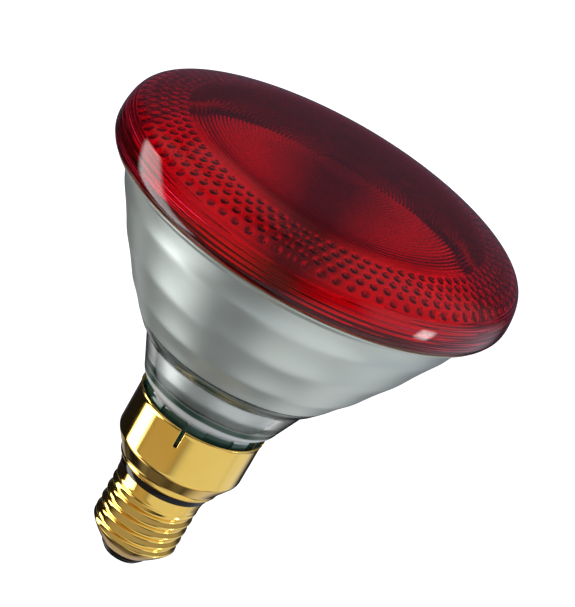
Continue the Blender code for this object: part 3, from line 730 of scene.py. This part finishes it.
def build_glass(satin, clear):
    """Bowl, neck and heel in one piece: satin outside on the bowl, clear elsewhere."""
    outline = reflector_outside()
    rim_inner = mirror_radius(BOWL_RIM)
    outline += [(r, BOWL_RIM) for r in np.linspace(BOWL_RIM_RADIUS, rim_inner, 5)[1:-1]]
    outline += glass_inside(0.0, HEEL_FLOOR)
    outline += [(0.5 * HEEL_BORE, HEEL_FLOOR), (0.0, HEEL_FLOOR)]
    outline += [(0.0, GLASS_LOW.z), (0.5 * HEEL_RADIUS, GLASS_LOW.z)]

    def pick(radius, height):
        inner = mirror_radius(max(height, MIRROR_VERTEX + MM))
        return 0 if height > BAND_EDGES[0] and radius > inner + 1.0 * MM else 1

    glass = turned("glass_reflector", outline, 360, [satin, clear], heel_lugs, pick)
    place(glass, "reflector")


def build_film(material):
    """Aluminium film that lies inside the glass from the rim down to the heel."""
    foot = HEEL_FLOOR + 2.5 * MM
    near = glass_inside(GAP, foot)
    far = glass_inside(2.0 * GAP, foot)
    film = turned("mirror_film", near[::-1] + far, 160, [material])
    place(film, "mirror_coating")


def build_seal(material):
    low, high = SEAL_LOW.z, SEAL_HIGH.z
    middle = 0.5 * (low + high)
    inner = SEAL_HIGH.x - 3.9 * MM
    outline = [(inner, low)] + bend((SEAL_HIGH.x - 0.2 * MM, low), (SEAL_HIGH.x + 0.2 * MM, middle),
                                    (SEAL_HIGH.x - 0.2 * MM, high), 6) + [(inner, high)]
    place(turned("rim_seam", outline, 240, [material]), "rim_seal")


# ---------------------------------------------------------------- cap

def skirt_outside():
    """Outside of the brass skirt from its hem over the cone up to the lip."""
    foot = (SKIRT_FOOT_RADIUS, SKIRT_FOOT)
    points = bend(foot, (SKIRT_HEM[0] - 0.2 * MM, SKIRT_FOOT + 0.1 * MM), SKIRT_HEM, 6)
    slope = (SKIRT_CONE_TOP[0] - SKIRT_CONE_FOOT[0]) / (SKIRT_CONE_TOP[1] - SKIRT_CONE_FOOT[1])
    waist_corner = (SKIRT_CONE_FOOT[0] - slope * SKIRT_WAIST, SKIRT_CONE_FOOT[1] - SKIRT_WAIST)
    points += bend(SKIRT_HEM, waist_corner, SKIRT_CONE_FOOT, 10)[1:]
    points += refine([SKIRT_CONE_FOOT, SKIRT_CONE_TOP], 0.6 * MM)[1:]
    bend_corner = (SKIRT_RADIUS, SKIRT_CONE_TOP[1] + (SKIRT_RADIUS - SKIRT_CONE_TOP[0]) / slope)
    points += bend(SKIRT_CONE_TOP, bend_corner, (SKIRT_RADIUS, SKIRT_BEND), 8)[1:]
    points += refine([points[-1], (SKIRT_RADIUS, LIP_FOOT)], 0.6 * MM)[1:]
    return points


def skirt_lip():
    """Lip rolled outwards at the skirt's top, from outside to inside."""
    rim = SKIRT_HIGH.x
    widest, top = (rim, SKIRT_TOP - 0.35 * MM), (rim - 0.3 * MM, SKIRT_TOP)
    inner = (SKIRT_RADIUS - SKIRT_WALL, SKIRT_TOP - 1.2 * MM)
    points = bend((SKIRT_RADIUS, LIP_FOOT), (SKIRT_RADIUS + 0.1 * MM, SKIRT_TOP - 0.6 * MM), widest, 4)[1:]
    points += bend(widest, (rim - 0.05 * MM, SKIRT_TOP), top, 4)[1:]
    points += bend(top, (rim - 0.6 * MM, SKIRT_TOP), inner, 4)[1:]
    return points


def slot_cutter(material):
    """Round-ended blocks that cut the slots in the skirt's rim."""
    vertices, faces = [], []
    for i in range(SLOT_COUNT):
        azimuth = SLOT_AZIMUTH + FULL_TURN * i / SLOT_COUNT
        along = Vector((math.cos(azimuth), math.sin(azimuth), 0.0))
        across = Vector((-along.y, along.x, 0.0))
        start = len(vertices)
        low, high = SKIRT_TOP - SLOT_DEPTH, SKIRT_TOP + MM
        half = 0.5 * SLOT_WIDTH
        profile = [(-half, high), (half, high)]
        for step in range(9):
            angle = math.pi * step / 8
            profile.append((half * math.cos(angle), low + half - half * math.sin(angle)))
        for reach in (SKIRT_RADIUS - 2.0 * MM, SKIRT_RADIUS + 2.0 * MM):
            for side, z in profile:
                vertices.append(tuple(reach * along + side * across + Vector((0.0, 0.0, z))))
        n = len(profile)
        faces.append(tuple(start + j for j in range(n)))
        faces.append(tuple(start + n + j for j in reversed(range(n))))
        for j in range(n):
            k = (j + 1) % n
            faces.append((start + k, start + j, start + n + j, start + n + k))
    return mesh_object("slot_cutter", vertices, faces, [material])


def build_skirt(material):
    """Thin brass skirt with its rolled lip, slotted round the rim."""
    outside = skirt_outside()
    hem_lift = 0.3 * MM
    inside = [(r - SKIRT_WALL, z + hem_lift) for r, z in reversed(outside)]
    skirt = turned("brass_skirt", outside + skirt_lip() + inside[1:], 288, [material])
    cutter = slot_cutter(material)
    modifier = skirt.modifiers.new("slots", "BOOLEAN")
    modifier.operation = "DIFFERENCE"
    modifier.solver = "EXACT"
    modifier.object = cutter
    bpy.context.view_layer.update()
    evaluated = skirt.evaluated_get(bpy.context.evaluated_depsgraph_get())
    cut = bpy.data.meshes.new_from_object(evaluated)
    skirt.modifiers.clear()
    skirt.data = cut
    bpy.data.objects.remove(cutter)
    place(skirt, "skirt")


def build_ring(material):
    """Black ring between skirt and shell, with a collar inside each of them."""
    low = SHELL_HIGH.z + GAP
    high = SKIRT_FOOT - GAP
    low_collar = SHELL_TOP_RADIUS - SHELL_WALL - 2.0 * GAP
    high_collar = SKIRT_FOOT_RADIUS - SKIRT_WALL - 0.4 * MM
    bore = 11.2 * MM
    edge = 0.25 * MM
    outline = [(bore, RING_LOW.z), (low_collar, RING_LOW.z), (low_collar, low)]
    outline += bend((RING_RADIUS - edge, low), (RING_RADIUS, low), (RING_RADIUS, low + edge), 4)
    outline += bend((RING_RADIUS, low + edge), (RING_RADIUS + 0.1 * MM, 0.5 * (low + high)),
                    (RING_RADIUS, high - edge), 6)[1:]
    outline += bend((RING_RADIUS, high - edge), (RING_RADIUS, high), (RING_RADIUS - edge, high), 4)[1:]
    outline += [(high_collar, high), (high_collar, RING_HIGH.z), (bore, RING_HIGH.z)]
    place(turned("black_ring", outline, 160, [material]), "insulating_ring")


def thread_wave(azimuth, radius, height):
    """Rolled round thread: the wall waves in by the thread's depth and fades at both ends."""
    strength = np.clip(np.minimum(
        (height - THREAD_START) / THREAD_FADE, (THREAD_END - height) / THREAD_FADE), 0.0, 1.0)
    strength = strength * strength * (3.0 - 2.0 * strength)
    turns = (height - THREAD_CREST) / THREAD_PITCH - (azimuth - SLOT_AZIMUTH) / FULL_TURN
    wave = 0.5 * (1.0 - np.cos(FULL_TURN * turns))
    return radius - strength * THREAD_DEPTH * wave, height


def build_shell(material):
    """Brass screw shell: a round thread over a tapered foot."""
    outside = bend(
        (SHELL_FOOT_RADIUS, SHELL_LOW.z),
        (THREAD_RADIUS - 1.2 * MM, SHELL_LOW.z + 4.2 * MM),
        (THREAD_RADIUS, THREAD_START + 0.4 * MM),
        24,
    )
    outside += refine([outside[-1], (THREAD_RADIUS, THREAD_END + 0.6 * MM)], 0.25 * MM)[1:]
    outside += refine([outside[-1], (SHELL_TOP_RADIUS, SHELL_HIGH.z)], 0.5 * MM)[1:]
    inside = [(r - SHELL_WALL, z) for r, z in reversed(outside)]
    shell = turned("threaded_shell", outside + inside, 200, [material], thread_wave)
    place(shell, "screw_shell")


def build_tip(black, metal_brass, solder):
    """Black button at the tip, with the contact plate, its eyelet and the solder plug."""
    plate = 0.5 * MM
    contact_radius = CONTACT_HIGH.x
    bore = 2.5 * MM
    inner_foot = SHELL_FOOT_RADIUS - SHELL_WALL
    outline = [(bore, plate + GAP), (contact_radius + GAP, plate + GAP), (contact_radius + GAP, 0.2 * MM)]
    outline += bend((contact_radius + 0.8 * MM, 0.2 * MM), (contact_radius + 1.1 * MM, 0.2 * MM),
                    (contact_radius + 1.3 * MM, 0.6 * MM), 4)
    outline += bend((SHELL_FOOT_RADIUS - 0.3 * MM, SHELL_LOW.z - 0.9 * MM),
                    (SHELL_FOOT_RADIUS - 0.1 * MM, SHELL_LOW.z - 0.4 * MM),
                    (SHELL_FOOT_RADIUS - 0.4 * MM, SHELL_LOW.z - GAP), 4)
    outline += [
        (inner_foot - 0.4 * MM, SHELL_LOW.z - GAP),
        (inner_foot - 0.2 * MM, SHELL_LOW.z + 1.0 * MM),
        (THREAD_RADIUS - 3.6 * MM, BASE_HIGH.z),
        (bore, BASE_HIGH.z),
    ]
    place(turned("black_button", outline, 120, [black]), "base_insulator")

    eyelet_bore, eyelet = 1.8 * MM, 2.2 * MM
    outline = [(eyelet_bore, 0.0)]
    outline += bend((contact_radius - 0.3 * MM, 0.0), (contact_radius, 0.0), (contact_radius, 0.3 * MM), 5)
    outline += [(contact_radius, plate), (eyelet, plate)]
    outline += [(eyelet, CONTACT_HIGH.z), (eyelet_bore, CONTACT_HIGH.z)]
    place(turned("contact_plate", outline, 96, [metal_brass]), "centre_contact")

    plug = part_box("contact_solder")[1]
    outline = [(0.0, 0.0), (plug.x - 0.1 * MM, 0.0), (plug.x, 0.15 * MM), (plug.x, plug.z - 0.4 * MM)]
    outline += bend(outline[-1], (plug.x, plug.z), (0.5 * plug.x, plug.z), 5)[1:] + [(0.0, plug.z)]
    place(turned("solder_plug", outline, 64, [solder]), "contact_solder")


# ---------------------------------------------------------------- mount inside the bulb

def build_filament(material):
    """Coiled coil of fine tungsten wire between the posts."""
    centre_z = 0.5 * (FILAMENT_LOW.z + FILAMENT_HIGH.z)
    half = FILAMENT_HIGH.x - 1.4 * MM
    coil_radius = 0.66 * MM
    fine_radius = 0.16 * MM
    wire_radius = 0.05 * MM
    turns, fine_turns, per_fine = 14, 14 * 18, 8
    total = fine_turns * per_fine
    path = [(-FILAMENT_HIGH.x, 0.0, centre_z), (-FILAMENT_HIGH.x + 0.6 * MM, 0.0, centre_z)]
    for i in range(total + 1):
        t = i / total
        big = FULL_TURN * turns * t
        small = FULL_TURN * fine_turns * t
        reach = coil_radius + fine_radius * math.cos(small)
        path.append((
            half * (2.0 * t - 1.0) + fine_radius * math.sin(small),
            reach * math.sin(big),
            centre_z + reach * math.cos(big),
        ))
    path += [(FILAMENT_HIGH.x - 0.6 * MM, 0.0, centre_z), (FILAMENT_HIGH.x, 0.0, centre_z)]
    place(tube("coiled_filament", path, wire_radius, 6, [material]), "filament")


# ---------------------------------------------------------------- stage, light and camera

def fade_out(tree, distance, half, soft):
    """1 up to half less soft, 0 beyond half plus soft, smooth in between; all in degrees."""
    node = add_node(tree, "ShaderNodeMapRange", interpolation_type="SMOOTHSTEP")
    node.inputs["From Min"].default_value = half + soft
    node.inputs["From Max"].default_value = half - soft
    tree.links.new(distance, node.inputs["Value"])
    return node.outputs["Result"]


# Soft boxes and bounce boards round the lamp, as seen from it in the camera's frame. Azimuth runs
# from the camera towards its right, elevation from the camera's own level; all angles in degrees.
SKY_PANELS = (
    # azimuth, half width, elevation, half height, softness, colour, strength
    (-94.0, 11.5, 13.0, 35.0, 3.5, (1.0, 1.0, 1.0), 8.0),
    (-115.0, 10.0, -24.0, 12.0, 8.0, (1.0, 1.0, 1.0), 1.8),
    (30.0, 114.0, -72.0, 28.0, 9.0, (1.0, 1.08, 1.2), 0.85),
    (180.0, 90.0, -82.0, 20.0, 9.0, (1.0, 0.99, 0.97), 0.95),
    (95.0, 58.0, -36.0, 20.0, 12.0, (1.0, 1.1, 1.3), 0.85),
    (-45.0, 38.0, -22.0, 26.0, 12.0, (1.0, 0.87, 0.66), 0.55),
    (0.0, 200.0, 88.0, 16.0, 12.0, (1.0, 1.0, 1.0), 0.4),
    (172.0, 15.0, -44.0, 16.0, 14.0, (1.0, 1.0, 1.0), 0.75),
    (86.0, 6.0, -42.0, 5.0, 3.0, (1.0, 1.0, 1.0), 18.0),
    (30.0, 90.0, 22.0, 40.0, 20.0, (0.95, 0.95, 1.1), 0.45),
    (157.0, 45.0, 30.0, 38.0, 15.0, (1.0, 1.05, 1.5), 0.075),
    (-162.0, 16.0, -27.0, 12.0, 6.0, (1.0, 0.93, 0.95), 0.45),
    (-98.0, 10.0, -48.0, 16.0, 6.0, (1.0, 0.97, 0.95), 0.13),
    (-140.0, 20.0, -45.0, 10.0, 6.0, (1.0, 0.93, 0.95), 0.14),
    (-152.0, 22.0, -6.0, 3.0, 3.0, (1.0, 1.0, 1.0), 0.4),
    (125.0, 32.0, 62.0, 8.0, 8.0, (0.95, 0.95, 1.1), 0.3),
)
SKY_BASE = (0.012, 0.012, 0.016)

# Two broad lights above the lamp, left and right, that its mirror shows through the lens, with a
# weak one below each. Azimuth runs from -Y, elevation from the horizon, both in degrees. The lower
# edge of the broad lights falls with the azimuth, and all of them end behind the lamp.
FILL_DARK = 0.16
FILL_BRIGHT = 1.4
FILL_AZIMUTHS = (12.0, 62.0)
FILL_SIDE = 0.25
FILL_SIDE_AZIMUTHS = (50.0, 100.0)
FILL_END_AZIMUTHS = (142.0, 168.0)
FILL_EDGE_HEIGHT = 36.0
FILL_EDGE_FALL = 0.36
FILL_EDGE_SOFTNESS = 4.0
# The fill takes over as a ray's upward share goes from the first to the second of these, and it
# leaves the panels this much of their strength
FILL_RISE = (-0.25, 0.1)
FILL_PANEL_SHARE = 0.1


def build_world():
    """White for the camera; panels for reflections; the fill for light back out of the lens."""
    world = bpy.data.worlds.new("studio")
    bpy.context.scene.world = world
    world.use_nodes = True
    tree = world.node_tree
    tree.nodes.clear()
    direction = add_node(tree, "ShaderNodeTexCoord").outputs["Generated"]

    def along(axis):
        dot = add_node(tree, "ShaderNodeVectorMath", operation="DOT_PRODUCT")
        dot.inputs[1].default_value = axis
        tree.links.new(direction, dot.inputs[0])
        return dot.outputs["Value"]

    degrees = math.degrees(1.0)
    azimuth = math_node(
        tree, "MULTIPLY", math_node(tree, "ARCTAN2", along(CAMERA_RIGHT), along(CAMERA_BACK)), degrees)
    elevation = math_node(tree, "MULTIPLY", math_node(tree, "ARCSINE", along(CAMERA_UP)), degrees)

    base = add_node(tree, "ShaderNodeCombineXYZ")
    for axis, value in enumerate(SKY_BASE):
        base.inputs[axis].default_value = value
    total = base.outputs["Vector"]
    for at, half_width, height, half_height, soft, colour, strength in SKY_PANELS:
        turn = math_node(tree, "WRAP", math_node(tree, "SUBTRACT", azimuth, at), 180.0, -180.0)
        across = fade_out(tree, math_node(tree, "ABSOLUTE", turn), half_width, soft)
        rise = math_node(tree, "ABSOLUTE", math_node(tree, "SUBTRACT", elevation, height))
        upright = fade_out(tree, rise, half_height, soft)
        amount = math_node(tree, "MULTIPLY", across, upright)
        tint = add_node(tree, "ShaderNodeVectorMath", operation="SCALE")
        tint.inputs[0].default_value = [c * strength for c in colour]
        tree.links.new(amount, tint.inputs["Scale"])
        joined = add_node(tree, "ShaderNodeVectorMath", operation="MAXIMUM")
        tree.links.new(total, joined.inputs[0])
        tree.links.new(tint.outputs["Vector"], joined.inputs[1])
        total = joined.outputs["Vector"]

    # Light that has come in through the lens and leaves again: the fill inside the lamp
    path = add_node(tree, "ShaderNodeLightPath")
    passes = path.outputs["Transmission Depth"]
    parts = add_node(tree, "ShaderNodeSeparateXYZ")
    tree.links.new(direction, parts.inputs["Vector"])
    x, y, z = (parts.outputs[axis] for axis in "XYZ")
    inside = math_node(tree, "MULTIPLY", spread(tree, z, 0.0, 1.0, *FILL_RISE),
                       math_node(tree, "MINIMUM", passes, 1.0))
    sideways = math_node(tree, "ABSOLUTE", x)
    forward = math_node(tree, "MULTIPLY", y, -1.0)
    turned_away = math_node(tree, "MULTIPLY", math_node(tree, "ARCTAN2", sideways, forward), degrees)
    raised = math_node(tree, "MULTIPLY", math_node(tree, "ARCSINE", z), degrees)
    fall = math_node(tree, "MULTIPLY", turned_away, FILL_EDGE_FALL)
    over = math_node(tree, "ADD", raised, math_node(tree, "SUBTRACT", fall, FILL_EDGE_HEIGHT))
    lit = math_node(
        tree, "MULTIPLY", spread(tree, turned_away, 0.0, 1.0, *FILL_AZIMUTHS),
        spread(tree, over, 0.0, 1.0, -FILL_EDGE_SOFTNESS, FILL_EDGE_SOFTNESS))
    lit = math_node(tree, "MAXIMUM", lit, spread(tree, turned_away, 0.0, FILL_SIDE, *FILL_SIDE_AZIMUTHS))
    lit = math_node(tree, "MULTIPLY", lit, spread(tree, turned_away, 1.0, 0.0, *FILL_END_AZIMUTHS))
    fill = math_node(tree, "MULTIPLY", inside, spread(tree, lit, FILL_DARK, FILL_BRIGHT, 0.0, 1.0))
    dimmed = add_node(tree, "ShaderNodeVectorMath", operation="SCALE")
    tree.links.new(total, dimmed.inputs[0])
    tree.links.new(spread(tree, inside, 1.0, FILL_PANEL_SHARE, 0.0, 1.0), dimmed.inputs["Scale"])
    joined = add_node(tree, "ShaderNodeVectorMath", operation="ADD")
    tree.links.new(dimmed.outputs["Vector"], joined.inputs[0])
    tree.links.new(fill, joined.inputs[1])
    total = joined.outputs["Vector"]

    studio = add_node(tree, "ShaderNodeBackground")
    tree.links.new(total, studio.inputs["Color"])
    white = add_node(tree, "ShaderNodeBackground")
    white.inputs["Color"].default_value = (1.0, 1.0, 1.0, 1.0)
    mix = add_node(tree, "ShaderNodeMixShader")
    tree.links.new(path.outputs["Is Camera Ray"], mix.inputs["Fac"])
    tree.links.new(studio.outputs["Background"], mix.inputs[1])
    tree.links.new(white.outputs["Background"], mix.inputs[2])
    output = add_node(tree, "ShaderNodeOutputWorld")
    tree.links.new(mix.outputs["Shader"], output.inputs["Surface"])


def build_floor():
    """Plain white floor well below the lamp, too far for its shadow to show."""
    half, depth = 4.0, -0.6
    corners = [(-half, -half, depth), (half, -half, depth), (half, half, depth), (-half, half, depth)]
    material, tree, shader = new_material("white_floor")
    set_shader(shader, Base_Color=(0.9, 0.9, 0.9), Roughness=0.9, Emission_Color=(1.0, 1.0, 1.0))
    shader.inputs["Emission Strength"].default_value = 1.0
    floor = mesh_object("floor", corners, [(0, 1, 2, 3)], [material])
    floor.visible_glossy = False
    floor.visible_diffuse = False
    floor.visible_transmission = False


def build_camera():
    data = bpy.data.cameras.new("camera")
    data.sensor_width = SENSOR_MM
    data.lens = CAMERA_FOCAL_MM
    camera = bpy.data.objects.new("camera", data)
    rotation = Matrix((CAMERA_RIGHT, CAMERA_UP, CAMERA_BACK)).transposed().to_4x4()
    camera.matrix_world = Matrix.Translation(CAMERA_PLACE) @ rotation
    bpy.context.scene.collection.objects.link(camera)
    bpy.context.scene.camera = camera


def finish_inner_nodes(nickel, solder, copper, tungsten, bead):
    """Gives the hidden CAD pieces inside glass and cap their own materials."""
    finishes = {
        "lead_post_left": nickel, "lead_post_right": nickel,
        "ferrule_left": nickel, "ferrule_right": nickel,
        "braze_left": solder, "braze_right": solder, "shell_solder": solder,
        "shell_lead": copper, "contact_lead": copper,
        "filament_support": tungsten, "bridge_bead": bead, "exhaust_tip": bead,
    }
    for node, material in finishes.items():
        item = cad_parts[node]
        item.data.materials.clear()
        item.data.materials.append(material)


def build_scene():
    nickel = metal("nickel", (0.48, 0.46, 0.43), (0.62, 0.60, 0.57), 0.22, 0.38)
    solder = metal("solder", (0.50, 0.50, 0.50), (0.68, 0.68, 0.67), 0.3, 0.5, 300.0)
    copper = metal("tinned_copper", (0.60, 0.42, 0.30), (0.75, 0.58, 0.45), 0.25, 0.4)
    tungsten = metal("tungsten", (0.22, 0.22, 0.23), (0.36, 0.36, 0.37), 0.35, 0.5, 400.0)
    polished = brass()
    black = black_glass()

    build_lens(ruby_glass())
    build_seal(sealant())
    build_glass(satin_bowl(), neck_glass())
    build_film(mirror_film())
    build_skirt(polished)
    build_ring(black)
    build_shell(polished)
    build_tip(black, polished, solder)
    build_filament(tungsten)
    finish_inner_nodes(nickel, solder, copper, tungsten, bead_glass())


build_camera()
build_world()
build_floor()
build_scene()
bpy.context.scene.view_settings.view_transform = "Standard"
